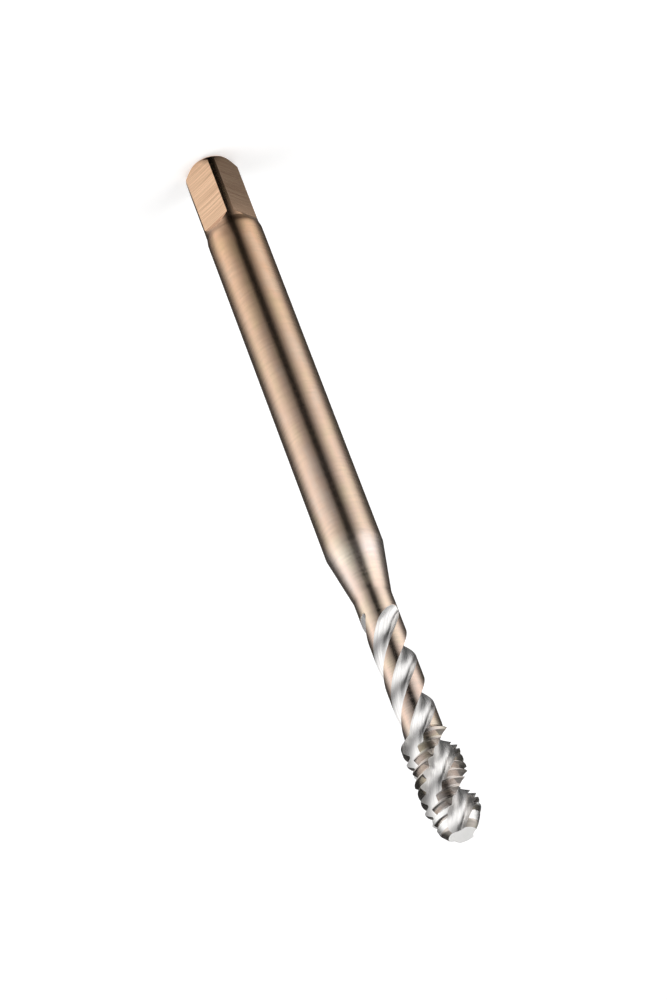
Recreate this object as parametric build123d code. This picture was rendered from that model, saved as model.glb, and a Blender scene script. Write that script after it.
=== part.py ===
from build123d import *
import math
import os

# Machine tap, metric M4 x 0.7, with right-hand spiral flutes and a reinforced shank.
# One bar of high-speed steel: drive square, plain shank, cone down to a thin neck,
# and the fluted thread with its ground lead.
# Frame: Z is the axis, the square's end face lies on Z = 0 and the cutting end is up.

# Shank and drive square
overall_length = 63.4
shank_diameter = 4.5
shank_length = 38.1            # from the square's end face to the start of the cone
square_across_flats = 3.4
square_across_corners = 4.3    # the end is turned down a little, so the corners clear the wrench
square_length = 6.05           # plain length of the flats
turned_length = 6.6            # length that is turned down for the square
shoulder_angle = 10.0          # from the axis, where the turned end swells to the shank
flat_run_out_angle = 30.0      # from the axis, where the flats leave the bar
end_diameter = 3.3             # end face, inside the cone that points the end
end_cone_length = 0.65

# Cone and neck
cone_angle = 10.0              # from the axis
neck_diameter = 2.95

# Thread, ISO metric form
thread_diameter = 4.0
thread_pitch = 0.7
thread_angle = 60.0
thread_length = 8.0            # full diameter and lead together
thread_start_angle = 45.0      # from the axis, the ramp from neck to thread
tooth_height_share = 0.6134    # height of a tooth as a share of the pitch
first_tooth_below_tip = 0.5    # depth of the first tooth under the tip, measured on +X

# Lead at the cutting end
tip_diameter = 2.1
tip_chamfer = 0.45             # 45 degree chamfer left from the blank
lead_angle = 23.0              # from the axis, ground through the first teeth

# Flutes
flute_count = 3
helix_angle = 45.0             # at the thread diameter
core_diameter = 1.64
land_angle = 50.6              # width of each land round the axis, at the thread diameter
rake_angle = 5.0               # hook of the cutting face
flute_root_radius = 0.6        # radius at the foot of the cutting face
flute_length = 18.0            # at full depth, measured from the tip
flute_run_out = 1.4            # length in which the flute rises out of the neck

# Worked out from the sizes above
shank_radius = shank_diameter / 2
turned_radius = square_across_corners / 2
neck_radius = neck_diameter / 2
thread_radius = thread_diameter / 2
core_radius = core_diameter / 2
tip_radius = tip_diameter / 2
shoulder_length = (shank_radius - turned_radius) / math.tan(math.radians(shoulder_angle))
cone_length = (shank_radius - neck_radius) / math.tan(math.radians(cone_angle))
thread_start = overall_length - thread_length
start_ramp = (thread_radius - neck_radius) / math.tan(math.radians(thread_start_angle))
lead_foot_radius = tip_radius + tip_chamfer
lead_length = (thread_radius - lead_foot_radius) / math.tan(math.radians(lead_angle))
flute_lead = math.pi * thread_diameter / math.tan(math.radians(helix_angle))
root_centre = Vector(core_radius + flute_root_radius, 0)
axis_to_face = thread_radius * math.sin(math.radians(rake_angle))
face_slope = math.degrees(math.asin((flute_root_radius - axis_to_face) / root_centre.X))
edge_angle = -face_slope - rake_angle                     # cutting edge from the deepest line
heel_angle = edge_angle + 360 / flute_count - land_angle  # heel of the next land
tooth_height = tooth_height_share * thread_pitch
crest_width = thread_pitch / 8
CLEAR = 0.4                    # how far a cutter stands out of the metal
EXIT_CLEAR = 0.05              # how far the last flute section stands clear of the neck
EXIT_STEPS = 7                 # sections in the rising end of a flute


def polar(radius, degrees):
    """A point of the flute's section, whose deepest line lies on its X axis."""
    return Vector(radius * math.cos(math.radians(degrees)), radius * math.sin(math.radians(degrees)))


def blank():
    """The turned bar, from the square's end face up to the tip."""
    profile = Polyline(
        (0, 0),
        (end_diameter / 2, 0),
        (turned_radius, end_cone_length),
        (turned_radius, turned_length),
        (shank_radius, turned_length + shoulder_length),
        (shank_radius, shank_length),
        (neck_radius, shank_length + cone_length),
        (neck_radius, thread_start - start_ramp),
        (thread_radius, thread_start),
        (thread_radius, overall_length - tip_chamfer - lead_length),
        (lead_foot_radius, overall_length - tip_chamfer),
        (tip_radius, overall_length),
        (0, overall_length),
        close=True,
    )
    return revolve(Plane.XZ * make_face(profile), Axis.Z)


def flat_cutters():
    """Four blocks that leave the square, each with a sloping end where its flat runs out."""
    flat = square_across_flats / 2
    outside = shank_radius + CLEAR
    slope_length = (outside - flat) / math.tan(math.radians(flat_run_out_angle))
    profile = Polyline(
        (flat, -CLEAR),
        (outside, -CLEAR),
        (outside, square_length + slope_length),
        (flat, square_length),
        close=True,
    )
    block = extrude(Plane.XZ * make_face(profile), amount=outside, both=True)
    return [Rot(0, 0, 90 * side) * block for side in range(4)]


def flute_section(lift, height, turn):
    """One flute's outline: hooked cutting face, round root, and a sweep out to the heel.

    lift raises the whole outline off the core, and turn sets the direction of its deepest line.
    """
    face_end = polar(thread_radius, edge_angle) + polar(CLEAR, -face_slope)
    foot = root_centre + polar(flute_root_radius, -90 - face_slope)
    root_middle = root_centre + polar(flute_root_radius, -135 - face_slope / 2)
    bottom = Vector(core_radius, 0)

    heel = polar(thread_radius, heel_angle)
    rise = heel.X - core_radius
    sweep_radius = (heel.Y**2 + rise**2) / (2 * rise)
    sweep_angle = math.degrees(math.asin(heel.Y / sweep_radius) + CLEAR / sweep_radius)
    sweep_centre = Vector(core_radius + sweep_radius, 0)
    sweep_middle = sweep_centre + polar(sweep_radius, 180 - sweep_angle / 2)
    sweep_end = sweep_centre + polar(sweep_radius, 180 - sweep_angle)
    outside = (face_end + sweep_end) * 0.5 + Vector(2 * CLEAR, 0)

    outline = Wire(
        [
            Edge.make_line(face_end, foot),
            Edge.make_three_point_arc(foot, root_middle, bottom),
            Edge.make_three_point_arc(bottom, sweep_middle, sweep_end),
            Edge.make_three_point_arc(sweep_end, outside, face_end),
        ]
    )
    return Pos(0, 0, height) * Rot(0, 0, turn) * Pos(lift, 0, 0) * outline


def flute_turn(height):
    """Direction of a flute's deepest line at a height: it points along +X at the tip."""
    return 360 * (height - overall_length) / flute_lead


def twisted_channel(low, high):
    """A stretch of one flute at full depth. It stays under one whole turn."""
    return Solid.extrude_linear_with_rotation(
        Face(flute_section(0, low, flute_turn(low))),
        (0, 0, low),
        (0, 0, high - low),
        flute_turn(high) - flute_turn(low),
    )


def exit_channel(high):
    """The end of one flute, where the grinding wheel rises out of the neck."""
    sections = []
    for step in range(EXIT_STEPS + 1):
        share = step / EXIT_STEPS
        height = high - share * flute_run_out
        lift = share**2 * (neck_radius + EXIT_CLEAR - core_radius)
        sections.append(flute_section(lift, height, flute_turn(height)))
    return Solid.make_loft(sections)


def flute_cutters():
    """What the grinding wheel takes out: three channels, each in three stretches."""
    full_depth = overall_length - flute_length
    channel = [
        exit_channel(full_depth),
        twisted_channel(full_depth, thread_start),
        twisted_channel(thread_start, overall_length + CLEAR),
    ]
    turns = [360 * flute / flute_count for flute in range(flute_count)]
    return [Rot(0, 0, turn) * stretch for turn in turns for stretch in channel]


def lead_radius(height):
    """Radius of the blank at a height along the thread and its lead."""
    below_foot = overall_length - tip_chamfer - height
    return min(thread_radius, lead_foot_radius + below_foot * math.tan(math.radians(lead_angle)))


def groove_cutter():
    """One stretch of the helical groove between two teeth, just wider than a land."""
    root = thread_radius - tooth_height
    outside = thread_radius + crest_width / 2
    flank = math.tan(math.radians(thread_angle / 2))
    crest_gap = (thread_pitch - crest_width) / 2
    root_gap = crest_gap - tooth_height * flank
    outside_gap = crest_gap + (outside - thread_radius) * flank
    profile = Wire.make_polygon(
        [
            (root, 0, -root_gap),
            (root, 0, root_gap),
            (outside, 0, outside_gap),
            (outside, 0, -outside_gap),
        ]
    )
    reach = land_angle + 30
    rise = thread_pitch * reach / 360
    helix = Edge.make_helix(thread_pitch, rise, thread_radius)
    stretch = Solid.sweep(profile, helix, is_frenet=True)
    return Pos(0, 0, -rise / 2) * Rot(0, 0, -reach / 2) * stretch


def groove_places():
    """Height and direction at which the thread's groove crosses the middle of each land."""
    groove_on_x = overall_length - first_tooth_below_tip - thread_pitch / 2
    land_on_tip = heel_angle + land_angle / 2
    turns = math.ceil(thread_length / thread_pitch) + flute_count
    places = []
    for land in range(flute_count):
        start = land_on_tip + 360 * land / flute_count
        for turn in range(-flute_count, turns):
            drop = groove_on_x - turn * thread_pitch - overall_length + flute_lead * start / 360
            direction = 360 * drop / (flute_lead - thread_pitch)
            height = overall_length + flute_lead * (direction - start) / 360
            places.append((height, direction))
    return places


def tooth_gaps():
    """All the grooves that cut the full thread and its lead, each placed on its land."""
    lowest = thread_start + thread_pitch / 2
    shallowest = thread_radius - tooth_height + crest_width / 2
    cutter = groove_cutter()
    return [
        Pos(0, 0, height) * Rot(0, 0, direction) * cutter
        for height, direction in groove_places()
        if height > lowest and lead_radius(height) > shallowest
    ]


def thread_tap():
    """The blank, then its drive square, its flutes and its teeth."""
    return blank() - flat_cutters() - flute_cutters() - tooth_gaps()


os.makedirs("parts", exist_ok=True)
export_step(thread_tap(), "parts/thread_tap.step")
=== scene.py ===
# %% [markdown]
# # A machine tap, from a turned blank to a lit picture
#
# The object is a small machine tap for an M4 thread: a drive square, a plain shank, a cone,
# a thin neck and a fluted thread with a ground lead, all in one piece of high-speed steel.
# This lesson makes its mesh, its finishes, the light and the camera, in that order. Sizes are
# in millimetres until the mesh is finished, because a thread is easier to read in them.

# %% Load the frame that the piece has to fit
import bpy
from math import acos, asin, ceil, cos, degrees, pi, radians, sin, tan
from mathutils import Matrix, Vector


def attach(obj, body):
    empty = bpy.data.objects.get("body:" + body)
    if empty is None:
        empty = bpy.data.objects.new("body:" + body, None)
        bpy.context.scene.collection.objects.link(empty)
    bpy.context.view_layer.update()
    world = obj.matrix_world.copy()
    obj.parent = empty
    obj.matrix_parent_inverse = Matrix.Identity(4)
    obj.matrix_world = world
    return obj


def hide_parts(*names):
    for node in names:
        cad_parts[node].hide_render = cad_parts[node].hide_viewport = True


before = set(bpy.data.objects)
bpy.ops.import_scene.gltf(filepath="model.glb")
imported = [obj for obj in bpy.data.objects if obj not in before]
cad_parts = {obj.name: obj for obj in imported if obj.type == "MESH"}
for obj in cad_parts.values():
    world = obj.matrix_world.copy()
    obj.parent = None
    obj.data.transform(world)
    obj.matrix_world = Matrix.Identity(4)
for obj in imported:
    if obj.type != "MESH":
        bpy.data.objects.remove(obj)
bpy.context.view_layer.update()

# %% [markdown]
# ## Sizes
#
# A tap is a rule more than a shape: a helix for the flutes, a finer helix for the thread, and
# a few turned diameters. So all its sizes come first, each with one name, and every later
# cell uses the names. MM is one millimetre in the metres of the finished scene.

# %% Sizes of the bar
MM = 0.001
LENGTH = 63.4
SHANK_RADIUS = 2.25
SHANK_LENGTH = 38.1
SQUARE_HALF = 1.7
SQUARE_LENGTH = 6.05
TURNED_RADIUS = 2.15
TURNED_LENGTH = 6.6
SHOULDER_ANGLE = radians(10)
RUN_OUT_ANGLE = radians(30)
END_RADIUS = 1.65
END_CONE = 0.65
CONE_ANGLE = radians(10)
NECK_RADIUS = 1.475
SHOULDER_END = TURNED_LENGTH + (SHANK_RADIUS - TURNED_RADIUS) / tan(SHOULDER_ANGLE)
CONE_END = SHANK_LENGTH + (SHANK_RADIUS - NECK_RADIUS) / tan(CONE_ANGLE)
print(f"cone from {SHANK_LENGTH} to {CONE_END:.2f} mm")

# %% Sizes of the thread, its lead and the flutes
PITCH = 0.7
THREAD_RADIUS = 2.0
THREAD_LENGTH = 8.0
THREAD_START = LENGTH - THREAD_LENGTH
START_RAMP = radians(45)
RAMP_FOOT = THREAD_START - (THREAD_RADIUS - NECK_RADIUS) / tan(START_RAMP)
FLANK_ANGLE = radians(30)
TOOTH_SHARE = 0.6134
TOOTH_HEIGHT = TOOTH_SHARE * PITCH
CREST_WIDTH = PITCH / 8
CREST_GAP = (PITCH - CREST_WIDTH) / 2
ROOT_GAP = CREST_GAP - TOOTH_HEIGHT * tan(FLANK_ANGLE)
FIRST_TOOTH_DEPTH = 0.5
GROOVE_HEIGHT = LENGTH - FIRST_TOOTH_DEPTH - PITCH / 2
TIP_RADIUS = 1.05
TIP_CHAMFER = 0.45
LEAD_ANGLE = radians(23)
LEAD_RELIEF = 0.12
LEAD_FOOT = TIP_RADIUS + TIP_CHAMFER
LEAD_START = LENGTH - TIP_CHAMFER - (THREAD_RADIUS - LEAD_FOOT) / tan(LEAD_ANGLE)

FLUTES = 3
CORE_RADIUS = 0.82
HELIX_ANGLE = radians(45)
FLUTE_LEAD = 2 * pi * THREAD_RADIUS / tan(HELIX_ANGLE)
LAND_ANGLE = radians(50.6)
RAKE_ANGLE = radians(5)
FACE_ARC = 0.6
FLUTE_LENGTH = 18.0
FULL_DEPTH = LENGTH - FLUTE_LENGTH
FLUTE_RUN_OUT = 1.4
EXIT_CLEAR = 0.05
EXIT_LIFT = NECK_RADIUS + EXIT_CLEAR - CORE_RADIUS
print(f"flute lead {FLUTE_LEAD:.3f} mm, tooth height {TOOTH_HEIGHT:.3f} mm")

# %% [markdown]
# A flute's section is an arc at the foot of the cutting face, a straight face, and a long arc
# that sweeps out to the heel of the next land. The two arcs meet at the deepest line. The
# slope of the face follows from the rake, and the sweep's radius from where the heel lies.

# %% Section of a flute
FACE_SLOPE = asin((FACE_ARC - THREAD_RADIUS * sin(RAKE_ANGLE)) / (CORE_RADIUS + FACE_ARC))
EDGE_ANGLE = FACE_SLOPE + RAKE_ANGLE
HEEL_ANGLE = 2 * pi / FLUTES - LAND_ANGLE - EDGE_ANGLE
heel_x, heel_y = THREAD_RADIUS * cos(HEEL_ANGLE), THREAD_RADIUS * sin(HEEL_ANGLE)
HEEL_ARC = (heel_y**2 + (heel_x - CORE_RADIUS) ** 2) / (2 * (heel_x - CORE_RADIUS))
print(f"face slope {degrees(FACE_SLOPE):.2f} degrees, heel arc {HEEL_ARC:.3f} mm")

# %% [markdown]
# ## A net for the whole bar
#
# The bar is one closed skin, so one net of rings covers it, with 192 columns: the number
# divides by three for the flutes and by four for the square. Each ring is placed where the
# shape needs it, close together in the thread and far apart on the plain shank. A lathe-like
# net suits a turned part better than a boolean, since its quads stay even and shade smoothly.
# The shoulder swells while the flats run out, so the fine rings go on a little past the
# height at which the flats would leave the turned end. The part that the flutes may move
# starts 0.1 mm below their run-out.

# %% Columns and ring heights
SWEEP_COLUMNS = 20
LAND_COLUMNS = 26
FACE_COLUMNS = 18
FLUTE_COLUMNS = SWEEP_COLUMNS + LAND_COLUMNS + FACE_COLUMNS
COLUMNS = FLUTES * FLUTE_COLUMNS
COLUMN_ANGLE = 2 * pi / COLUMNS
ROW = 0.035
FLAT_END = SQUARE_LENGTH + (TURNED_RADIUS - SQUARE_HALF) / tan(RUN_OUT_ANGLE)
FINE_END = FLAT_END + 0.12
GRIND_MARGIN = 1.5
GRIND_START = FULL_DEPTH - GRIND_MARGIN


def spaced(low, high, step):
    """Heights from low up to, but not including, high, at most step apart."""
    count = ceil((high - low) / step)
    return [low + (high - low) * i / count for i in range(count)]


# Each stretch: from, to, and how far apart its rings may be
stretches = [
    (0, END_CONE, 0.04),
    (END_CONE, SQUARE_LENGTH, 0.75),
    (SQUARE_LENGTH, TURNED_LENGTH, 0.04),
    (TURNED_LENGTH, FINE_END, 0.02),
    (FINE_END, SHOULDER_END, 0.06),
    (SHOULDER_END, SHANK_LENGTH, 0.8),
    (SHANK_LENGTH, CONE_END, 0.4),
    (CONE_END, GRIND_START, 0.1),
    (GRIND_START, FULL_DEPTH, 0.05),
    (FULL_DEPTH, RAMP_FOOT, 0.1),
    (RAMP_FOOT, THREAD_START, 0.05),
    (THREAD_START, LEAD_START, ROW),
    (LEAD_START, LENGTH - TIP_CHAMFER, ROW),
    (LENGTH - TIP_CHAMFER, LENGTH, ROW),
]
heights = [z for low, high, step in stretches for z in spaced(low, high, step)] + [LENGTH]
print(len(heights), "rings of", COLUMNS, "columns")

# %% [markdown]
# On the square, a quarter of the columns belongs to each side. Most of them lie on the flat
# and the rest on the turned corner, and the border between the two sets follows the real
# edge, so the edge stays crisp. Where the flat runs out, its columns close up with it and
# then spread evenly again on the plain shank.

# %% Turned radius and the flats
SIDE_COLUMNS = COLUMNS // 4
FLAT_COLUMNS = 36
EVEN_SPREAD = FLAT_COLUMNS * COLUMN_ANGLE / 2
NARROW_SPREAD = radians(7)
SPREAD_START = FLAT_END + 0.07
SPREAD_LENGTH = 2.0


def turned_radius(z):
    """Radius of the bar before the flats are milled, up to the end of the neck."""
    if z < END_CONE:
        return END_RADIUS + (TURNED_RADIUS - END_RADIUS) * z / END_CONE
    if z < SHANK_LENGTH:
        swell = max(0, z - TURNED_LENGTH) * tan(SHOULDER_ANGLE)
        return min(SHANK_RADIUS, TURNED_RADIUS + swell)
    return max(NECK_RADIUS, SHANK_RADIUS - (z - SHANK_LENGTH) * tan(CONE_ANGLE))


def flat_distance(z):
    """Distance from the axis to each flat, which grows where the flat runs out."""
    return SQUARE_HALF + max(0, z - SQUARE_LENGTH) * tan(RUN_OUT_ANGLE)


def shank_point(column, z):
    """Azimuth and radius of a column on the square and the shank."""
    radius = turned_radius(z)
    flat = flat_distance(z)
    if flat < radius:
        half = max(NARROW_SPREAD, acos(flat / radius))
    else:
        opened = min(1, (z - SPREAD_START) / SPREAD_LENGTH)
        half = NARROW_SPREAD + (EVEN_SPREAD - NARROW_SPREAD) * max(0, opened)
    side, place = divmod(column + FLAT_COLUMNS // 2, SIDE_COLUMNS)
    if place < FLAT_COLUMNS:
        off = half * (2 * place / FLAT_COLUMNS - 1)
    else:
        corner = (place - FLAT_COLUMNS) / (SIDE_COLUMNS - FLAT_COLUMNS)
        off = half + (pi / 2 - 2 * half) * corner
    if place <= FLAT_COLUMNS:
        radius = min(radius, flat / cos(off))
    return side * pi / 2 + off, radius


def on_flat(column, z):
    """Whether a column lies on one of the four flats at a height."""
    place = (column + FLAT_COLUMNS // 2) % SIDE_COLUMNS
    return place <= FLAT_COLUMNS and flat_distance(z) < turned_radius(z)


print("corner radius", round(shank_point(SIDE_COLUMNS // 2, 3)[1], 3))

# %% [markdown]
# In the neck the columns change from the square's layout to the flutes' layout. A flute turns
# as it climbs, so the layout at its lower end is turned by a known angle, and the columns are
# shifted by whole places until both layouts nearly agree.

# %% The net as a mesh
exit_turn = 2 * pi * (GRIND_START - LENGTH) / FLUTE_LEAD
shift = round(exit_turn / COLUMN_ANGLE)

points = []
milled = []
for z in heights:
    blend = min(1, max(0, (z - CONE_END) / (GRIND_START - CONE_END)))
    for column in range(COLUMNS):
        azimuth, radius = shank_point(column, z)
        ground = (column - shift) * COLUMN_ANGLE + exit_turn
        azimuth += blend * (ground - azimuth)
        points.append((radius * cos(azimuth), radius * sin(azimuth), z))
        milled.append(float(on_flat(column, z)))

faces = []
for row in range(len(heights) - 1):
    for column in range(COLUMNS):
        beside = (column + 1) % COLUMNS
        low, high = row * COLUMNS, (row + 1) * COLUMNS
        faces.append((low + column, low + beside, high + beside, high + column))
top = (len(heights) - 1) * COLUMNS
foot, tip = len(points), len(points) + 1
points += [(0, 0, 0), (0, 0, LENGTH)]
for column in range(COLUMNS):
    beside = (column + 1) % COLUMNS
    faces.append((foot, beside, column))
    faces.append((tip, top + column, top + beside))

blank = bpy.data.meshes.new("tap_net")
blank.from_pydata(points, [], faces)
print(len(points), "points,", len(faces), "faces")

# %% [markdown]
# Each point also remembers its place round the flutes: which flute it belongs to, which part
# of it (0 the sweep, 1 the land, 2 the cutting face) and how far along that part it lies. The
# node tree reads these, and what lies on a milled flat, as named attributes. The middle points
# of the two ends come last and get 0.

# %% Places round the flutes
places = {"flute": [], "part": [], "share": []}
for index in range(len(heights) * COLUMNS):
    flute, place = divmod((index - shift) % COLUMNS, FLUTE_COLUMNS)
    if place < SWEEP_COLUMNS:
        part, share = 0, place / SWEEP_COLUMNS
    elif place < SWEEP_COLUMNS + LAND_COLUMNS:
        part, share = 1, (place - SWEEP_COLUMNS) / LAND_COLUMNS
    else:
        flute, part, share = flute + 1, 2, (FLUTE_COLUMNS - place) / FACE_COLUMNS
    for word, value in (("flute", flute), ("part", part), ("share", share)):
        places[word].append(value)
places["milled"] = milled
for word, values in places.items():
    data_type = "INT" if word in ("flute", "part") else "FLOAT"
    layer = blank.attributes.new(word, data_type, "POINT")
    layer.data.foreach_set("value", values + [0, 0])
print("columns shifted by", shift)

# %% [markdown]
# ## One function for nodes, and recipes of arithmetic
#
# Trees for geometry and for materials both grow node by node. One small function adds a node,
# applies its settings and fills or links its inputs. Long arithmetic is written as a recipe:
# each line names a result, an operation and what goes into it, and becomes one Math node. A
# few fixed numbers have a name in every recipe: a full turn, and two very small lengths that
# keep a comparison safe from rounding.

# %% Helpers for node trees
FIXED = {"full_turn": 2 * pi, "hair": 0.001, "touch": 0.0001}


def join(tree, node, inputs):
    """Set each input of a node to a number or colour, or link it to a socket."""
    for socket, value in inputs.items():
        if isinstance(value, bpy.types.NodeSocket):
            tree.links.new(value, node.inputs[socket])
        else:
            node.inputs[socket].default_value = value


def add_node(tree, kind, inputs=None, **settings):
    """Add a node, apply its settings, and set or link its inputs."""
    node = tree.nodes.new(kind)
    for name, value in settings.items():
        setattr(node, name, value)
    join(tree, node, inputs or {})
    return node


def follow(tree, recipe, known):
    """Add one Math node for each line of a recipe and remember its result by name."""
    known.update(FIXED)
    for line in recipe.strip().splitlines():
        result, operation, *words = line.split()
        values = [known[word] if word in known else float(word) for word in words]
        inputs = dict(enumerate(values))
        node = add_node(tree, "ShaderNodeMath", inputs, operation=operation)
        known[result] = node.outputs[0]


def new_group(name, recipe, inputs, outputs):
    """A node group whose named numbers go through a recipe."""
    tree = bpy.data.node_groups.new(name, "GeometryNodeTree")
    for word in inputs:
        tree.interface.new_socket(word, in_out="INPUT", socket_type="NodeSocketFloat")
    for word in outputs:
        tree.interface.new_socket(word, in_out="OUTPUT", socket_type="NodeSocketFloat")
    known = dict(zip(inputs, add_node(tree, "NodeGroupInput").outputs))
    follow(tree, recipe, known)
    add_node(tree, "NodeGroupOutput", {word: known[word] for word in outputs})
    print(name, "has", len(tree.nodes), "nodes")
    return tree


# %% [markdown]
# ## The radius of the blank and its teeth
#
# At any height and azimuth the bar's surface is the smaller of two radii: the turned blank,
# with its ramp, lead and end chamfer, and the thread. The thread's radius only depends on the
# distance to the nearest groove, and the groove climbs one pitch for each turn.

# %% Group for the radius
SHARED = "length start ramp_slope thread neck tip tip_chamfer lead_slope".split()
SHARED += "groove pitch tooth crest_gap root_gap".split()
radius_group = new_group(
    "Radius at height and azimuth",
    """
    above       SUBTRACT      height start
    above       MULTIPLY      above ramp_slope
    ramp        ADD           thread above
    ramp        MAXIMUM       ramp neck
    body        MINIMUM       ramp thread
    below_tip   SUBTRACT      length height
    chamfer     ADD           tip below_tip
    below_lead  SUBTRACT      below_tip tip_chamfer
    below_lead  MULTIPLY      below_lead lead_slope
    foot        ADD           tip tip_chamfer
    lead        ADD           foot below_lead
    lead        SUBTRACT      lead relief
    blank       MINIMUM       body lead
    blank       MINIMUM       blank chamfer
    rise        SUBTRACT      height groove
    rise        DIVIDE        rise pitch
    turns       DIVIDE        azimuth full_turn
    phase       SUBTRACT      rise turns
    nearest     ROUND         phase
    offset      SUBTRACT      phase nearest
    offset      MULTIPLY      offset pitch
    distance    ABSOLUTE      offset
    centre      SUBTRACT      height offset
    lowest      MULTIPLY_ADD  pitch 0.5 start
    grooved     GREATER_THAN  centre lowest
    flank       SUBTRACT      distance root_gap
    flank_wide  SUBTRACT      crest_gap root_gap
    flank       DIVIDE        flank flank_wide
    flank       MAXIMUM       flank 0
    flank       MINIMUM       flank 1
    depth       SUBTRACT      1 flank
    depth       MULTIPLY      depth tooth
    depth       MULTIPLY      depth grooved
    thread_cut  SUBTRACT      thread depth
    radius      MINIMUM       blank thread_cut
    turned      LESS_THAN     blank thread_cut
    """,
    ["height", "azimuth", "relief"] + SHARED,
    "radius turned blank offset distance grooved".split(),
)

# %% [markdown]
# ## One side of a flute
#
# Both sides of a flute are the same idea: an arc that starts at the deepest line and, for the
# cutting face, a straight stretch after it, until they reach the radius of the bar. The group
# walks that path by a share of its length. Where the flute rises out of the neck the path
# gets short, so it goes on round the neck, and the columns never fall together.

# %% Group for the side of a flute
side_group = new_group(
    "Side of a flute",
    """
    room        SUBTRACT      radius core
    raised      MINIMUM       lift room
    centre      ADD           core arc
    centre      ADD           centre raised
    centre_2    MULTIPLY      centre centre
    arc_2       MULTIPLY      arc arc
    radius_2    MULTIPLY      radius radius
    cosine      ADD           centre_2 arc_2
    cosine      SUBTRACT      cosine radius_2
    product     MULTIPLY      centre arc
    product     MULTIPLY      product 2
    cosine      DIVIDE        cosine product
    cosine      MINIMUM       cosine 1
    bend        ARCCOSINE     cosine
    bend        MINIMUM       bend reach
    bend_cos    COSINE        bend
    bend_sin    SINE          bend
    foot_x      MULTIPLY      arc bend_cos
    foot_x      SUBTRACT      centre foot_x
    foot_y      MULTIPLY      arc bend_sin
    way_x       SINE          reach
    way_y       COSINE        reach
    along_x     MULTIPLY      foot_x way_x
    along       MULTIPLY_ADD  foot_y way_y along_x
    off_x       MULTIPLY      foot_x way_y
    off_y       MULTIPLY      foot_y way_x
    off         SUBTRACT      off_x off_y
    off_2       MULTIPLY      off off
    straight    SUBTRACT      radius_2 off_2
    straight    SQRT          straight
    straight    SUBTRACT      straight along
    straight    MAXIMUM       straight 0
    edge_x      MULTIPLY_ADD  straight way_x foot_x
    edge_y      MULTIPLY_ADD  straight way_y foot_y
    angle       ARCTAN2       edge_y edge_x
    arc_length  MULTIPLY      arc bend
    cut_length  ADD           arc_length straight
    over        SUBTRACT      spread angle
    over        MAXIMUM       over 0
    whole       MULTIPLY_ADD  over radius cut_length
    walked      MULTIPLY      whole share
    on_arc      MINIMUM       walked arc_length
    on_arc      DIVIDE        on_arc arc
    arc_cos     COSINE        on_arc
    arc_sin     SINE          on_arc
    on_face     SUBTRACT      walked arc_length
    on_face     MAXIMUM       on_face 0
    on_face     MINIMUM       on_face straight
    x           MULTIPLY      arc arc_cos
    x           SUBTRACT      centre x
    x           MULTIPLY_ADD  on_face way_x x
    y           MULTIPLY      arc arc_sin
    y           MULTIPLY_ADD  on_face way_y y
    round_neck  SUBTRACT      walked cut_length
    round_neck  MAXIMUM       round_neck 0
    round_neck  DIVIDE        round_neck radius
    turn_cos    COSINE        round_neck
    turn_sin    SINE          round_neck
    new_x       MULTIPLY      x turn_cos
    new_y       MULTIPLY      x turn_sin
    less        MULTIPLY      y turn_sin
    new_x       SUBTRACT      new_x less
    new_y       MULTIPLY_ADD  y turn_cos new_y
    limit       ADD           cut_length touch
    ground      LESS_THAN     walked limit
    """,
    "radius core arc reach lift spread share".split(),
    "new_x new_y angle walked ground".split(),
)

# %% [markdown]
# ## The tree that grinds the blank
#
# The tree does what the grinding machine does. For every point it works out how far the
# flutes have turned at its height, walks the point to its place on the flute's section or on
# the land, and gives it the radius of the teeth. Rings near a tooth's corner slide onto the
# corner, so the crests stay sharp without a finer net.

# %% Inputs of the main tree
grinder = bpy.data.node_groups.new("Grind flutes and thread", "GeometryNodeTree")
sizes = {
    "length": LENGTH,
    "start": THREAD_START,
    "ramp_slope": tan(START_RAMP),
    "thread": THREAD_RADIUS,
    "neck": NECK_RADIUS,
    "tip": TIP_RADIUS,
    "tip_chamfer": TIP_CHAMFER,
    "lead_slope": tan(LEAD_ANGLE),
    "lead_relief": LEAD_RELIEF,
    "groove": GROOVE_HEIGHT,
    "pitch": PITCH,
    "tooth": TOOTH_HEIGHT,
    "crest_gap": CREST_GAP,
    "root_gap": ROOT_GAP,
    "core": CORE_RADIUS,
    "flute_lead": FLUTE_LEAD,
    "flutes": FLUTES,
    "face_arc": FACE_ARC,
    "face_reach": pi / 2 - FACE_SLOPE,
    "face_spread": FACE_COLUMNS * COLUMN_ANGLE,
    "heel_arc": HEEL_ARC,
    "heel_reach": pi / 2,
    "heel_spread": SWEEP_COLUMNS * COLUMN_ANGLE,
    "full_depth": FULL_DEPTH,
    "run_out": FLUTE_RUN_OUT,
    "exit_lift": EXIT_LIFT,
    "grind_start": GRIND_START,
    "row": ROW,
}
shape_socket = "NodeSocketGeometry"
grinder.interface.new_socket("Geometry", in_out="INPUT", socket_type=shape_socket)
identifiers = {}
for word in sizes:
    settings = {"in_out": "INPUT", "socket_type": "NodeSocketFloat"}
    identifiers[word] = grinder.interface.new_socket(word, **settings).identifier
grinder.interface.new_socket("Geometry", in_out="OUTPUT", socket_type=shape_socket)

source = add_node(grinder, "NodeGroupInput")
known = dict(zip(sizes, source.outputs[1:]))
print(len(sizes), "named inputs")

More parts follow.
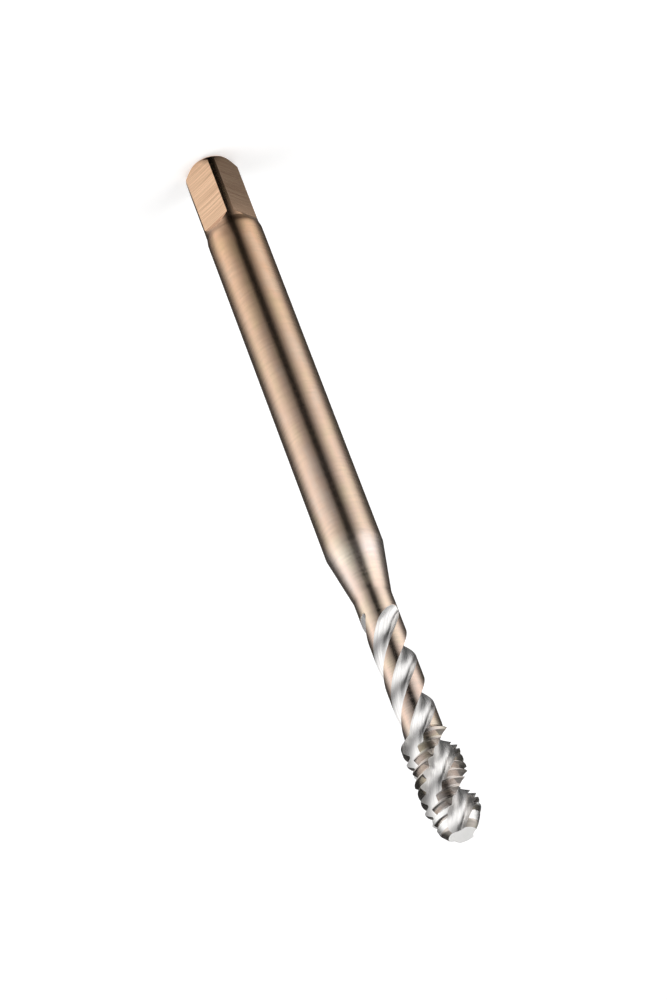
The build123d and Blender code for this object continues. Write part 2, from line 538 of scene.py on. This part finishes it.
# %% Turn and rise of the flutes
position = add_node(grinder, "GeometryNodeInputPosition")
place = add_node(grinder, "ShaderNodeSeparateXYZ", {0: position.outputs[0]})
known["height"] = place.outputs["Z"]
for word, data_type in (("flute", "INT"), ("part", "INT"), ("share", "FLOAT")):
    inputs = {"Name": word}
    reader = add_node(grinder, "GeometryNodeInputNamedAttribute", inputs, data_type=data_type)
    known[word] = reader.outputs["Attribute"]
follow(
    grinder,
    """
    third       DIVIDE        full_turn flutes
    own_turn    MULTIPLY      flute third
    twist       DIVIDE        full_turn flute_lead
    from_tip    SUBTRACT      height length
    turn        MULTIPLY_ADD  from_tip twist own_turn
    left        SUBTRACT      full_depth height
    left        DIVIDE        left run_out
    left        MAXIMUM       left 0
    left        MINIMUM       left 1
    left_2      MULTIPLY      left left
    lift        MULTIPLY      left_2 exit_lift
    face_open   MULTIPLY      left face_spread
    heel_open   MULTIPLY      left heel_spread
    on_sweep    LESS_THAN     part 0.5
    on_face     GREATER_THAN  part 1.5
    on_land     ADD           on_sweep on_face
    on_land     SUBTRACT      1 on_land
    """,
    known,
)

# %% [markdown]
# First pass: the borders of the land on the plain blank. They give each point the azimuth at
# which it meets the thread, and from that the small slide that puts a ring on a corner.

# %% First pass
def radius_at(height, azimuth, relief):
    """Use the radius group at a height and an azimuth, with its shared sizes linked."""
    links = {word: known[word] for word in SHARED}
    links.update(height=known[height], azimuth=known[azimuth], relief=known[relief])
    return add_node(grinder, "GeometryNodeGroup", links, node_tree=radius_group)


def flute_side(radius, side, share):
    """Use the side group for the face or the heel, out to a radius."""
    links = {"radius": radius, "core": known["core"], "lift": known["lift"]}
    links.update(arc=known[side + "_arc"], reach=known[side + "_reach"])
    links.update(spread=known[side + "_open"], share=share)
    return add_node(grinder, "GeometryNodeGroup", links, node_tree=side_group)


known["none"] = 0.0
plain = radius_at("height", "none", "none").outputs["blank"]
known["heel_plain"] = flute_side(plain, "heel", 1.0).outputs["angle"]
known["face_plain"] = flute_side(plain, "face", 1.0).outputs["angle"]
follow(
    grinder,
    """
    heel_at     MAXIMUM       heel_plain heel_open
    face_at     MAXIMUM       face_plain face_open
    edge_at     SUBTRACT      third face_at
    land_wide   SUBTRACT      edge_at heel_at
    land_at     MULTIPLY_ADD  share land_wide heel_at
    here        MULTIPLY      land_at on_land
    here        MULTIPLY_ADD  heel_at on_sweep here
    minus_face  MULTIPLY      face_at on_face
    here        SUBTRACT      here minus_face
    azimuth_0   ADD           here turn
    """,
    known,
)
meet = radius_at("height", "azimuth_0", "none")
known.update(offset=meet.outputs["offset"], distance=meet.outputs["distance"])
known["grooved"] = meet.outputs["grooved"]
follow(
    grinder,
    """
    half_row    MULTIPLY      row 0.5
    to_root     SUBTRACT      root_gap distance
    near_root   COMPARE       root_gap distance half_row
    to_crest    SUBTRACT      crest_gap distance
    near_crest  COMPARE       crest_gap distance half_row
    slide       MULTIPLY      to_root near_root
    slide       MULTIPLY_ADD  to_crest near_crest slide
    side        SIGN          offset
    slide       MULTIPLY      slide side
    slide       MULTIPLY      slide grooved
    gear        DIVIDE        pitch flute_lead
    gear        SUBTRACT      1 gear
    slide       DIVIDE        slide gear
    fade        SUBTRACT      1 on_land
    fade        MULTIPLY      fade share
    fade        ADD           fade on_land
    slide       MULTIPLY      slide fade
    inside      SUBTRACT      length hair
    inside      LESS_THAN     height inside
    slide       MULTIPLY      slide inside
    new_height  ADD           height slide
    new_turn    MULTIPLY_ADD  slide twist turn
    """,
    known,
)

# %% [markdown]
# Second pass: the same borders again, now with the teeth, so that the cutting edge and the
# heel follow every crest and root. The lead is ground lower towards the heel, which leaves
# only its front edge in touch with the work.

# %% Second pass
follow(
    grinder,
    """
    azimuth_h   ADD           heel_at new_turn
    azimuth_f   SUBTRACT      new_turn face_at
    azimuth_e   ADD           edge_at new_turn
    """,
    known,
)
at_heel = radius_at("new_height", "azimuth_h", "lead_relief").outputs["radius"]
at_face = radius_at("new_height", "azimuth_f", "none").outputs["radius"]
at_edge = radius_at("new_height", "azimuth_e", "none").outputs["radius"]
heel = flute_side(at_heel, "heel", known["share"])
face = flute_side(at_face, "face", known["share"])
edge = flute_side(at_edge, "face", 1.0)
known.update(heel_true=heel.outputs["angle"], edge_true=edge.outputs["angle"])
follow(
    grinder,
    """
    heel_true   MAXIMUM       heel_true heel_open
    edge_true   MAXIMUM       edge_true face_open
    edge_true   SUBTRACT      third edge_true
    land_wide   SUBTRACT      edge_true heel_true
    land_true   MULTIPLY_ADD  share land_wide heel_true
    azimuth_l   ADD           land_true new_turn
    behind      SUBTRACT      1 share
    own_relief  MULTIPLY      behind lead_relief
    """,
    known,
)
land = radius_at("new_height", "azimuth_l", "own_relief")
known["land_radius"] = land.outputs["radius"]
known["face_y"] = face.outputs["new_y"]
follow(
    grinder,
    """
    land_cos    COSINE        land_true
    land_sin    SINE          land_true
    land_x      MULTIPLY      land_radius land_cos
    land_y      MULTIPLY      land_radius land_sin
    face_y      MULTIPLY      face_y -1
    """,
    known,
)

# %% [markdown]
# The part that a point belongs to picks its place. Two values for the finish of the flutes go
# with it: how far it lies across the flute, and how far along it, which is its height times
# the slant of the helix.

# %% Each point goes to its place
spots = [
    (heel.outputs["new_x"], heel.outputs["new_y"]),
    (known["land_x"], known["land_y"]),
    (face.outputs["new_x"], known["face_y"]),
]
choice = add_node(grinder, "GeometryNodeIndexSwitch", data_type="VECTOR")
choice.index_switch_items.new()
grinder.links.new(known["part"], choice.inputs["Index"])
for index, (x, y) in enumerate(spots):
    spot = add_node(grinder, "ShaderNodeCombineXYZ", {0: x, 1: y})
    grinder.links.new(spot.outputs[0], choice.inputs[index + 1])
inputs = {"Vector": choice.outputs[0], "Angle": known["new_turn"]}
twisted = add_node(grinder, "ShaderNodeVectorRotate", inputs, rotation_type="Z_AXIS")
raised = add_node(grinder, "ShaderNodeCombineXYZ", {"Z": known["new_height"]})
inputs = {0: twisted.outputs[0], 1: raised.outputs[0]}
target = add_node(grinder, "ShaderNodeVectorMath", inputs, operation="ADD")
known.update(heel_ground=heel.outputs["ground"], face_ground=face.outputs["ground"])
known.update(heel_walked=heel.outputs["walked"], face_walked=face.outputs["walked"])
known.update(turned=land.outputs["turned"], slant=1 / cos(HELIX_ANGLE))
follow(
    grinder,
    """
    cutting     SUBTRACT      grind_start hair
    cutting     GREATER_THAN  height cutting
    on_heel     LESS_THAN     share hair
    on_heel     MULTIPLY      on_heel on_land
    on_heel     ADD           on_heel on_sweep
    ground      MULTIPLY      heel_ground on_heel
    ground      MULTIPLY_ADD  face_ground on_face ground
    ground      MULTIPLY      ground cutting
    lead_foot   SUBTRACT      length tip_chamfer
    lead_foot   SUBTRACT      lead_foot hair
    in_lead     LESS_THAN     height lead_foot
    lead_top    GREATER_THAN  height start
    in_lead     MULTIPLY      in_lead lead_top
    in_lead     MULTIPLY      in_lead turned
    in_lead     MULTIPLY      in_lead on_land
    across      MULTIPLY      face_walked on_face
    across      MULTIPLY      across -1
    across      MULTIPLY_ADD  heel_walked on_sweep across
    along       MULTIPLY      new_height slant
    """,
    known,
)
print("main tree has", len(grinder.nodes), "nodes")

# %% [markdown]
# ## Finishes
#
# High-speed steel is grey. This tap was ground, hardened and treated in steam, which leaves a
# thin oxide that tints the bar bronze. The flutes and the lead are ground last, through the
# oxide, and show bare steel. Colours are written as sRGB hex values, and one function turns
# them to the linear values that the shader wants. Marks are noise, stretched so that it has a
# chosen number of them per millimetre along each axis.

# %% Helpers for finishes
MARK_DEPTH = 0.02 * MM


def linear(hex_colour):
    """The linear RGBA of an sRGB hex colour."""
    parts = [int(hex_colour[i : i + 2], 16) / 255 for i in (1, 3, 5)]
    return [c / 12.92 if c <= 0.04045 else ((c + 0.055) / 1.055) ** 2.4 for c in parts] + [1]


def new_material(name):
    """A material with its tree and its shader."""
    material = bpy.data.materials.new(name)
    material.use_nodes = True
    tree = material.node_tree
    return material, tree, tree.nodes["Principled BSDF"]


def fill_ramp(node, stops):
    """Give a ramp its stops, each a place from 0 to 1 and a linear colour."""
    elements = node.color_ramp.elements
    elements.remove(elements[1])
    elements[0].position, elements[0].color = stops[0]
    for place, colour in stops[1:]:
        elements.new(place).color = colour
    return node.outputs["Color"]


def hex_stops(stops):
    """The stops of a ramp whose colours are written in hex."""
    return [(place, linear(colour)) for place, colour in stops]


def place_in_mm(tree):
    """The object's own coordinates in millimetres."""
    place = add_node(tree, "ShaderNodeTexCoord").outputs["Object"]
    inputs = {"Vector": place, "Scale": [1 / MM] * 3}
    return add_node(tree, "ShaderNodeMapping", inputs).outputs[0]


def marks_along(tree, place, per_mm, detail):
    """Marks as a value about 0.5, so many per millimetre along each axis."""
    inputs = {"Vector": place, "Scale": per_mm}
    stretched = add_node(tree, "ShaderNodeMapping", inputs).outputs[0]
    inputs = {"Vector": stretched, "Scale": 1.0, "Detail": detail}
    return add_node(tree, "ShaderNodeTexNoise", inputs).outputs["Fac"]


def marked_colour(tree, colour, marks, darkest, lightest):
    """A colour that marks make darker and lighter."""
    inputs = {"Value": marks, "From Min": 0.3, "From Max": 0.7}
    inputs.update({"To Min": darkest, "To Max": lightest})
    tone = add_node(tree, "ShaderNodeMapRange", inputs).outputs[0]
    inputs = {0: colour, "Scale": tone}
    return add_node(tree, "ShaderNodeVectorMath", inputs, operation="SCALE").outputs[0]


# %% [markdown]
# ### Bronze oxide on the ground bar
#
# The bar was ground while it turned, so its finest marks run round it, here about 0.1 mm
# apart, which is coarser than the real ones so that they show. The film on top is bronze.
# It gets lighter up the shank and greyer on the teeth. The same ramp also holds painted light:
# a dark band round the shoulder is painted shade, and the lightest tint, on the cone, is a
# painted highlight. The film's thickness also drifts, over two or three millimetres, which
# moves the hue a little from straw through rose to blue.

# %% Oxide finish
# Tints up the bar, by share of its length. The dark stops from 0.103 to 0.116 are painted
# shade round the shoulder, and the light stop at 0.62 is a painted highlight on the cone.
TINTS_AND_PAINTED_LIGHT = [
    (0.00, "#DCB898"),
    (0.103, "#DCB898"),
    (0.108, "#A8886E"),
    (0.112, "#A8886E"),
    (0.116, "#DAB696"),
    (0.16, "#DDBB9C"),
    (0.30, "#DBBFA5"),
    (0.50, "#E6CDB8"),
    (0.59, "#E8D2BE"),
    (0.62, "#FCEFE4"),
    (0.67, "#F1DDCD"),
    (0.85, "#EAD5C4"),
    (0.88, "#DCD7D0"),
    (1.00, "#D4D0CA"),
]
FILM_HUES = [(0.36, "#FFFEF5"), (0.46, "#FFFAF6"), (0.54, "#FFF8F7"), (0.64, "#FDFCFF")]
oxide_and_painted_light, tree, shader = new_material("bronze_oxide_with_painted_shade_and_highlight")
in_mm = place_in_mm(tree)
axis = add_node(tree, "ShaderNodeSeparateXYZ", {0: in_mm}).outputs["Z"]
share_up = add_node(tree, "ShaderNodeMath", {0: axis, 1: LENGTH}, operation="DIVIDE")
tint_and_painted_light = add_node(tree, "ShaderNodeValToRGB", {"Fac": share_up.outputs[0]})
drift = marks_along(tree, in_mm, (0.6, 0.6, 0.3), 3.0)
hue = add_node(tree, "ShaderNodeValToRGB", {"Fac": drift})
# The tints, with their painted shade and painted highlight, times the drifting hue.
inputs = {0: fill_ramp(tint_and_painted_light, hex_stops(TINTS_AND_PAINTED_LIGHT)), 1: fill_ramp(hue, hex_stops(FILM_HUES))}
film_and_painted_light = add_node(tree, "ShaderNodeVectorMath", inputs, operation="MULTIPLY").outputs[0]
marks = marks_along(tree, in_mm, (0.6, 0.6, 10), 3.0)
inputs = {"Value": marks, "From Min": 0.3, "From Max": 0.7, "To Min": 0.2, "To Max": 0.27}
gloss = add_node(tree, "ShaderNodeMapRange", inputs).outputs[0]
inputs = {"Height": marks, "Strength": 0.02, "Distance": MARK_DEPTH}
relief = add_node(tree, "ShaderNodeBump", inputs).outputs[0]
colour = marked_colour(tree, film_and_painted_light, marks, 0.9, 1.07)
inputs = {"Metallic": 1, "Base Color": colour, "Roughness": gloss, "Normal": relief}
join(tree, shader, inputs)
print(oxide_and_painted_light.name, "with", len(tree.nodes), "nodes")

# %% [markdown]
# ### Milled flats
#
# The four flats are cut across the bar by the face of a cutter, so their marks are long arcs
# that nearly follow the width of the flat, about 0.06 mm apart. A sheared and slightly bent
# coordinate gives the noise that direction. The oxide is darker along the deepest marks.

# %% Flat finish
milled_flat, tree, shader = new_material("bronze_oxide_on_milled_flats")
corner = add_node(tree, "ShaderNodeSeparateXYZ", {0: place_in_mm(tree)}).outputs
on_face = {"x": corner["X"], "y": corner["Y"], "z": corner["Z"], "tilt": 0.1, "bend": 0.03}
follow(
    tree,
    """
    across      ADD           x y
    bent        MULTIPLY      across across
    bent        MULTIPLY      bent bend
    line        MULTIPLY_ADD  across tilt z
    line        ADD           line bent
    """,
    on_face,
)
inputs = {0: on_face["across"], 2: on_face["line"]}
sheared = add_node(tree, "ShaderNodeCombineXYZ", inputs).outputs[0]
marks = marks_along(tree, sheared, (0.16, 1, 17), 4.0)
scored = add_node(tree, "ShaderNodeValToRGB", {"Fac": marks})
colour = fill_ramp(scored, hex_stops([(0.32, "#BB9578"), (0.58, "#E2BE9E")]))
inputs = {"Height": marks, "Strength": 0.16, "Distance": MARK_DEPTH}
relief = add_node(tree, "ShaderNodeBump", inputs).outputs[0]
inputs = {"Metallic": 1, "Base Color": colour, "Roughness": 0.26, "Normal": relief}
join(tree, shader, inputs)
print(milled_flat.name, "with", len(tree.nodes), "nodes")

# %% [markdown]
# ### Ground flutes
#
# A flute is ground along its helix, and the wheel leaves straight marks that follow it, here
# about 0.09 mm apart, coarser than the real ones so that they show. The node tree for the
# shape stores how far each point lies across and along its flute, and the pattern reads
# that, so the marks run with the flute wherever it turns. Deep marks are duller than the
# ridges between them.

# %% Flute finish
flute_steel, tree, shader = new_material("ground_flute_steel")
grind = add_node(tree, "ShaderNodeAttribute", attribute_name="grind").outputs["Vector"]
marks = marks_along(tree, grind, (11, 0.1, 1), 4.0)
inputs = {"Value": marks, "From Min": 0.35, "From Max": 0.65, "To Min": 0.36, "To Max": 0.24}
gloss = add_node(tree, "ShaderNodeMapRange", inputs).outputs[0]
inputs = {"Height": marks, "Strength": 0.1, "Distance": MARK_DEPTH}
relief = add_node(tree, "ShaderNodeBump", inputs).outputs[0]
colour = marked_colour(tree, linear("#F7F5F3")[:3], marks, 0.9, 1.1)
inputs = {"Metallic": 1, "Base Color": colour, "Roughness": gloss, "Normal": relief}
join(tree, shader, inputs)
print(flute_steel.name, "with", len(tree.nodes), "nodes")

# %% [markdown]
# ### Ground lead
#
# The lead is ground on a cone while the tap turns, so its marks run round it, about 0.06 mm
# apart: finer than on the bar, and still coarser than the real ones. The flat face at the
# tip was ground too and gets the same finish. Both are the brightest part.

# %% Lead finish
lead_steel, tree, shader = new_material("ground_lead_steel")
marks = marks_along(tree, place_in_mm(tree), (0.4, 0.4, 16), 2.0)
colour = marked_colour(tree, linear("#F8F7F5")[:3], marks, 0.9, 1.04)
join(tree, shader, {"Metallic": 1, "Base Color": colour, "Roughness": 0.26})
print(lead_steel.name, "with", len(tree.nodes), "nodes")

# %% [markdown]
# ## From tree to mesh
#
# The tree first stores what the finishes need, then moves the points and scales them to
# metres. It ends with Realize Instances and Set Material. A face takes a finish when enough
# of its four corners are marked for it: all of them for a flat, two for the lead and three
# for a flute. A later finish goes over an earlier one.

# %% The end of the main tree
inputs = {0: known["across"], 1: known["along"]}
grind_values = add_node(grinder, "ShaderNodeCombineXYZ", inputs)
geometry = source.outputs[0]
stored = [
    ("ground", "FLOAT", known["ground"]),
    ("lead", "FLOAT", known["in_lead"]),
    ("grind", "FLOAT_VECTOR", grind_values.outputs[0]),
]
for word, data_type, value in stored:
    settings = {"data_type": data_type, "domain": "POINT"}
    inputs = {"Geometry": geometry, "Name": word, "Value": value}
    keeper = add_node(grinder, "GeometryNodeStoreNamedAttribute", inputs, **settings)
    geometry = keeper.outputs[0]
inputs = {"Geometry": geometry, "Selection": known["cutting"]}
inputs["Position"] = target.outputs[0]
moved = add_node(grinder, "GeometryNodeSetPosition", inputs)
inputs = {"Geometry": moved.outputs[0], "Scale": [MM] * 3}
sized = add_node(grinder, "GeometryNodeTransform", inputs)
inputs = {"Geometry": sized.outputs[0]}
geometry = add_node(grinder, "GeometryNodeRealizeInstances", inputs).outputs[0]
middle = add_node(grinder, "ShaderNodeSeparateXYZ", {0: position.outputs[0]})
known.update(face_height=middle.outputs["Z"], mm=MM)
for word in ("milled", "lead", "ground"):
    inputs = {"Name": word}
    reader = add_node(grinder, "GeometryNodeInputNamedAttribute", inputs, data_type="FLOAT")
    known[word] = reader.outputs["Attribute"]
follow(
    grinder,
    """
    end_height  SUBTRACT      length hair
    end_height  MULTIPLY      end_height mm
    on_end      GREATER_THAN  face_height end_height
    milled      GREATER_THAN  milled 0.9
    lead        GREATER_THAN  lead 0.4
    ground      GREATER_THAN  ground 0.6
    """,
    known,
)
finishes = [
    (oxide_and_painted_light, True),
    (milled_flat, known["milled"]),
    (lead_steel, known["lead"]),
    (flute_steel, known["ground"]),
    (lead_steel, known["on_end"]),
]
for material, chosen in finishes:
    inputs = {"Geometry": geometry, "Selection": chosen, "Material": material}
    geometry = add_node(grinder, "GeometryNodeSetMaterial", inputs).outputs[0]
add_node(grinder, "NodeGroupOutput", {0: geometry})
print("main tree has", len(grinder.nodes), "nodes")

# %% The finished piece
SHARP_ANGLE = radians(28)


def new_object(name, data):
    """An object of the scene that carries a mesh, a lamp or a camera."""
    result = bpy.data.objects.new(name, data)
    bpy.context.scene.collection.objects.link(result)
    return result


carrier = new_object("net", blank)
grinding = carrier.modifiers.new("grind", "NODES")
grinding.node_group = grinder
for word, value in sizes.items():
    grinding[identifiers[word]] = float(value)
bpy.context.view_layer.update()
graph = bpy.context.evaluated_depsgraph_get()
mesh = bpy.data.meshes.new_from_object(carrier.evaluated_get(graph))
bpy.data.objects.remove(carrier)
mesh.name = "tap"
for polygon in mesh.polygons:
    polygon.use_smooth = True
mesh.set_sharp_from_angle(angle=SHARP_ANGLE)
tap = new_object("tap", mesh)
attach(tap, "root")
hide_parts("thread_tap")
print(len(mesh.polygons), "faces,", len(mesh.materials), "finishes")

# %% [markdown]
# ## Floor, light and camera
#
# A round steel bar shows its surroundings more than itself, so the light is made for what the
# bar mirrors. White paper lies under it. The room is bright at both sides, grey behind the
# camera, dark behind the tap, and dimmer overhead. Paper and room count as bright for rays
# from the camera and from shiny surfaces; other rays meet plain paper under soft boxes, so
# the tap still throws its shadow. From here on, sizes are in metres.

# %% Floor
WHITE = "#FFFFFF"
PAPER_GLOW = 0.45
FLOOR_RADIUS = 1.5
FLOOR_DROP = 0.00002


def staged(name, corners, faces, material):
    """A mesh object with one material, for the floor or a net, not attached to the tap."""
    mesh = bpy.data.meshes.new(name)
    mesh.from_pydata(corners, [], faces)
    mesh.materials.append(material)
    result = new_object(name, mesh)
    return result


def seen_only(tree, strength):
    """A strength for camera, glossy and transmission rays, which is 0 for all others."""
    path = add_node(tree, "ShaderNodeLightPath").outputs
    known = {"camera": path["Is Camera Ray"], "glossy": path["Is Glossy Ray"]}
    known.update(through=path["Is Transmission Ray"], strength=strength)
    follow(
        tree,
        """
        seen        MAXIMUM       camera glossy
        seen        MAXIMUM       seen through
        seen        MULTIPLY      seen strength
        """,
        known,
    )
    return known["seen"]


def circle(radius, height, segments=96):
    """Corners of a round ring about the axis."""
    angles = [2 * pi * i / segments for i in range(segments)]
    return [(radius * cos(angle), radius * sin(angle), height) for angle in angles]


paper, tree, shader = new_material("white_paper")
inputs = {"Base Color": linear("#E8E8E8"), "Roughness": 0.9, "Emission Color": linear(WHITE)}
inputs["Emission Strength"] = seen_only(tree, PAPER_GLOW)
join(tree, shader, inputs)
rim = circle(FLOOR_RADIUS, -FLOOR_DROP)
staged("floor", rim, [range(len(rim))], paper)

# %% [markdown]
# What is bright round the tap is given as tables: degrees round it, with 0 towards the
# camera, and a grey from 0 to 1.

# %% Room
CAMERA_AZIMUTH = radians(-124.35)
ROOM_TONES = [
    (-180, 0.04),
    (-145, 0.05),
    (-122, 0.65),
    (-100, 1.0),
    (-70, 1.0),
    (-50, 0.75),
    (-30, 0.34),
    (-10, 0.3),
    (10, 0.6),
    (30, 0.9),
    (60, 1.0),
    (82, 0.9),
    (105, 0.3),
    (125, 0.04),
]


def tones_round(tree, direction, table):
    """Greys round the tap after a table, and how far up the direction goes."""
    inputs = {"Vector": direction, "Angle": -CAMERA_AZIMUTH}
    turned = add_node(tree, "ShaderNodeVectorRotate", inputs, rotation_type="Z_AXIS")
    corner = add_node(tree, "ShaderNodeSeparateXYZ", {0: turned.outputs[0]}).outputs
    known = {"x": corner["X"], "y": corner["Y"]}
    follow(
        tree,
        """
        share       ARCTAN2       y x
        share       DIVIDE        share full_turn
        share       ADD           share 0.5
        """,
        known,
    )
    ramp = add_node(tree, "ShaderNodeValToRGB", {"Fac": known["share"]})
    stops = [((turn + 180) / 360, (grey, grey, grey, 1)) for turn, grey in table]
    return fill_ramp(ramp, stops), corner["Z"]


world = bpy.data.worlds.new("room")
world.use_nodes = True
bpy.context.scene.world = world
tree = world.node_tree
direction = add_node(tree, "ShaderNodeTexCoord").outputs["Generated"]
tones, upward = tones_round(tree, direction, ROOM_TONES)
inputs = {"Value": upward, "From Min": 0.25, "From Max": 0.9, "To Min": 1.3, "To Max": 0.4}
ceiling = add_node(tree, "ShaderNodeMapRange", inputs, interpolation_type="SMOOTHSTEP")
inputs = {0: tones, 1: ceiling.outputs[0]}
bright = add_node(tree, "ShaderNodeMath", inputs, operation="MULTIPLY").outputs[0]
inputs = {"Color": linear(WHITE), "Strength": seen_only(tree, bright)}
join(tree, tree.nodes["Background"], inputs)
world.cycles.sampling_method = "NONE"
print("room has", len(tree.nodes), "nodes")

# %% [markdown]
# Round the tap a black net lies on the paper, open at both sides and closed in front and
# behind. The metal mirrors its closed parts as the dark line down the middle and the dark
# edges, and because it opens little by little, the tones between them are soft. It comes in
# three rings: the square mirrors the nearest floor, the shank and the neck the floor after
# that, and the cone and the teeth the farthest. A table of the same kind says how open each
# ring is, from 0 to 1. Only the metal sees the net.

# %% Net round the tap
NEAR_OPENNESS = [
    (-180, 0.03),
    (-110, 0.24),
    (-60, 0.24),
    (-17, 0.0),
    (4, 0.0),
    (28, 0.95),
    (85, 1.0),
    (128, 0.05),
]
MIDDLE_OPENNESS = [
    (-180, 0.03),
    (-132, 0.05),
    (-110, 0.2),
    (-90, 0.76),
    (-72, 1.0),
    (-56, 0.86),
    (-30, 0.26),
    (-17, 0.0),
    (1, 0.0),
    (9, 0.18),
    (30, 0.44),
    (52, 0.8),
    (70, 1.0),
    (82, 0.94),
    (106, 0.34),
    (128, 0.05),
]
FAR_OPENNESS = [
    (-180, 0.03),
    (-132, 0.05),
    (-110, 0.2),
    (-90, 0.78),
    (-74, 1.0),
    (-48, 1.0),
    (-36, 0.8),
    (-25, 0.3),
    (-18, 0.0),
    (4, 0.0),
    (11, 0.16),
    (30, 0.42),
    (52, 0.8),
    (70, 1.0),
    (82, 0.9),
    (106, 0.3),
    (128, 0.05),
]
NET_LIFT = 0.00003


def black_net(name, inner, outer, openness):
    """A flat ring of black net on the floor, which only shiny surfaces see."""
    material, tree, cloth = new_material(name)
    inputs = {"Base Color": linear("#0A0A0A"), "Roughness": 0.95, "Specular IOR Level": 0.0}
    join(tree, cloth, inputs)
    place = add_node(tree, "ShaderNodeTexCoord").outputs["Object"]
    weave, upward = tones_round(tree, place, openness)
    holes = add_node(tree, "ShaderNodeBsdfTransparent").outputs[0]
    shaders = {0: weave, 1: cloth.outputs[0], 2: holes}
    mix = add_node(tree, "ShaderNodeMixShader", shaders).outputs[0]
    join(tree, tree.nodes["Material Output"], {"Surface": mix})

    rings = circle(inner, NET_LIFT) + circle(outer, NET_LIFT)
    count = len(rings) // 2
    panels = [(i, (i + 1) % count, (i + 1) % count + count, i + count) for i in range(count)]
    result = staged(name, rings, panels, material)
    for ray in ("camera", "diffuse", "shadow", "transmission"):
        setattr(result, "visible_" + ray, False)


black_net("near_net", 0.0017, 0.009, NEAR_OPENNESS)
black_net("middle_net", 0.009, 0.1, MIDDLE_OPENNESS)
black_net("far_net", 0.1, 0.6, FAR_OPENNESS)

# %% [markdown]
# Three large boxes light the paper, and the metal does not mirror them. The small one behind
# the tap stands where the flat face at the tip mirrors it towards the camera.

# %% Soft boxes
AIM = Vector((0, 0, 0.03))
# Name, degrees from the camera, distance, height, size, power, and whether metal mirrors it
BOXES = [
    ("left_box", 72, 0.6, 0.5, 0.6, 3.2, False),
    ("right_box", -68, 0.6, 0.5, 0.6, 3.2, False),
    ("top_box", 180, 0.2, 0.8, 0.6, 2.4, False),
    ("back_box", 180, 0.533, 0.338, 0.22, 0.14, True),
]
for name, turn, distance, height, size, power, mirrored in BOXES:
    angle = CAMERA_AZIMUTH + radians(turn)
    lamp = bpy.data.lights.new(name, "AREA")
    lamp.shape, lamp.size, lamp.energy = "SQUARE", size, power
    holder = new_object(name, lamp)
    holder.location = Vector((distance * cos(angle), distance * sin(angle), height))
    holder.rotation_euler = (holder.location - AIM).to_track_quat("Z", "Y").to_euler()
    holder.visible_glossy = mirrored

# %% [markdown]
# The camera stands 0.24 m from the axis and 0.19 m up, with a long lens, and is rolled so
# that the cutting end points down and to the right. Its place and its three axes are given as
# if it stood over the X axis, and one turn brings it to its azimuth.

# %% Camera
CAMERA_PLACE = Vector((0.24246, 0, 0.18851))
CAMERA_RIGHT = Vector((-0.19209, -0.93461, 0.2993))
CAMERA_UP = Vector((0.50377, -0.35568, -0.7872))
CAMERA_BACK = Vector((0.84221, -0.00041, 0.5392))
camera_data = bpy.data.cameras.new("camera")
camera_data.lens = 138.54
camera_data.clip_start = 0.01
camera = new_object("camera", camera_data)
axes = Matrix((CAMERA_RIGHT, CAMERA_UP, CAMERA_BACK)).transposed().to_4x4()
turn = Matrix.Rotation(CAMERA_AZIMUTH, 4, "Z")
camera.matrix_world = turn @ Matrix.Translation(CAMERA_PLACE) @ axes
bpy.context.scene.camera = camera
bpy.context.scene.view_settings.view_transform = "Standard"
